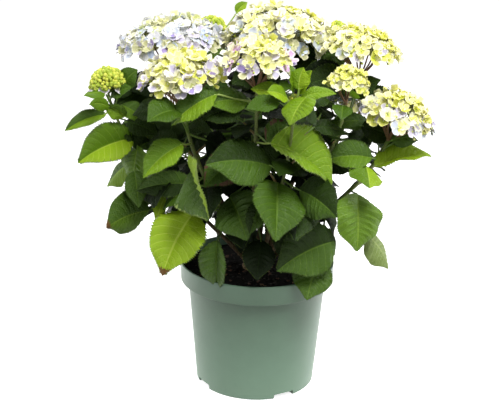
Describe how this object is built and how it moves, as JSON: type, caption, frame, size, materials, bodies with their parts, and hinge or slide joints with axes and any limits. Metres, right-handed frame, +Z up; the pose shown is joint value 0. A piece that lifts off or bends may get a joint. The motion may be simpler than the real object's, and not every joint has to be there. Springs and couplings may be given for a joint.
{
  "type": "potted hydrangea shrub",
  "caption": "Mophead hydrangea in leaf and bloom in a tapered plastic nursery pot: round leafy crown of opposite toothed leaves under domed pale flower heads.",
  "frame": {"origin": "middle of the pot's flat underside", "axes": "+Z up along the pot's axis; -Y towards the plant's front; +X to the right seen from the front"},
  "size_m": [0.5174, 0.4485, 0.5599],
  "materials": {
    "pot_plastic": "satin sage-green moulded plastic",
    "potting_soil": "dark crumbly peat with bark",
    "old_wood": "dry grey-brown bark",
    "green_stem": "smooth green young bark",
    "leaf": "satin green leaf",
    "petal": "soft matte petal",
    "flower_bud": "matte green-yellow bud"
  },
  "bodies": {
    "root": {"pot": "pot_plastic", "soil": "potting_soil", "crown": "old_wood", "stem_right_back": "green_stem", "foliage_right_back": "leaf", "bloom_right_back": "petal", "stem_far": "green_stem", "foliage_far": "leaf", "bloom_far": "flower_bud", "stem_centre_back": "green_stem", "foliage_centre_back": "leaf", "bloom_centre_back": "petal", "stem_back": "green_stem", "foliage_back": "leaf", "bloom_back": "flower_bud", "stem_left_back": "green_stem", "foliage_left_back": "leaf", "bloom_left_back": "petal", "stem_front": "green_stem", "foliage_front": "leaf", "bloom_front": "petal", "stem_right_inner": "green_stem", "foliage_right_inner": "leaf", "bloom_right_inner": "petal", "stem_rear_right": "green_stem", "foliage_rear_right": "leaf", "bloom_rear_right": "petal", "stem_rear": "green_stem", "foliage_rear": "leaf", "bloom_rear": "petal", "stem_rear_left": "green_stem", "foliage_rear_left": "leaf", "bloom_rear_left": "petal", "stem_left": "green_stem", "foliage_left": "leaf", "bloom_left": "flower_bud", "stem_left_front": "green_stem", "foliage_left_front": "leaf", "bloom_left_front": "petal", "stem_young": "green_stem", "foliage_young": "leaf", "stem_right_front": "green_stem", "foliage_right_front": "leaf", "bloom_right_front": "petal"}
  },
  "joints": []
}
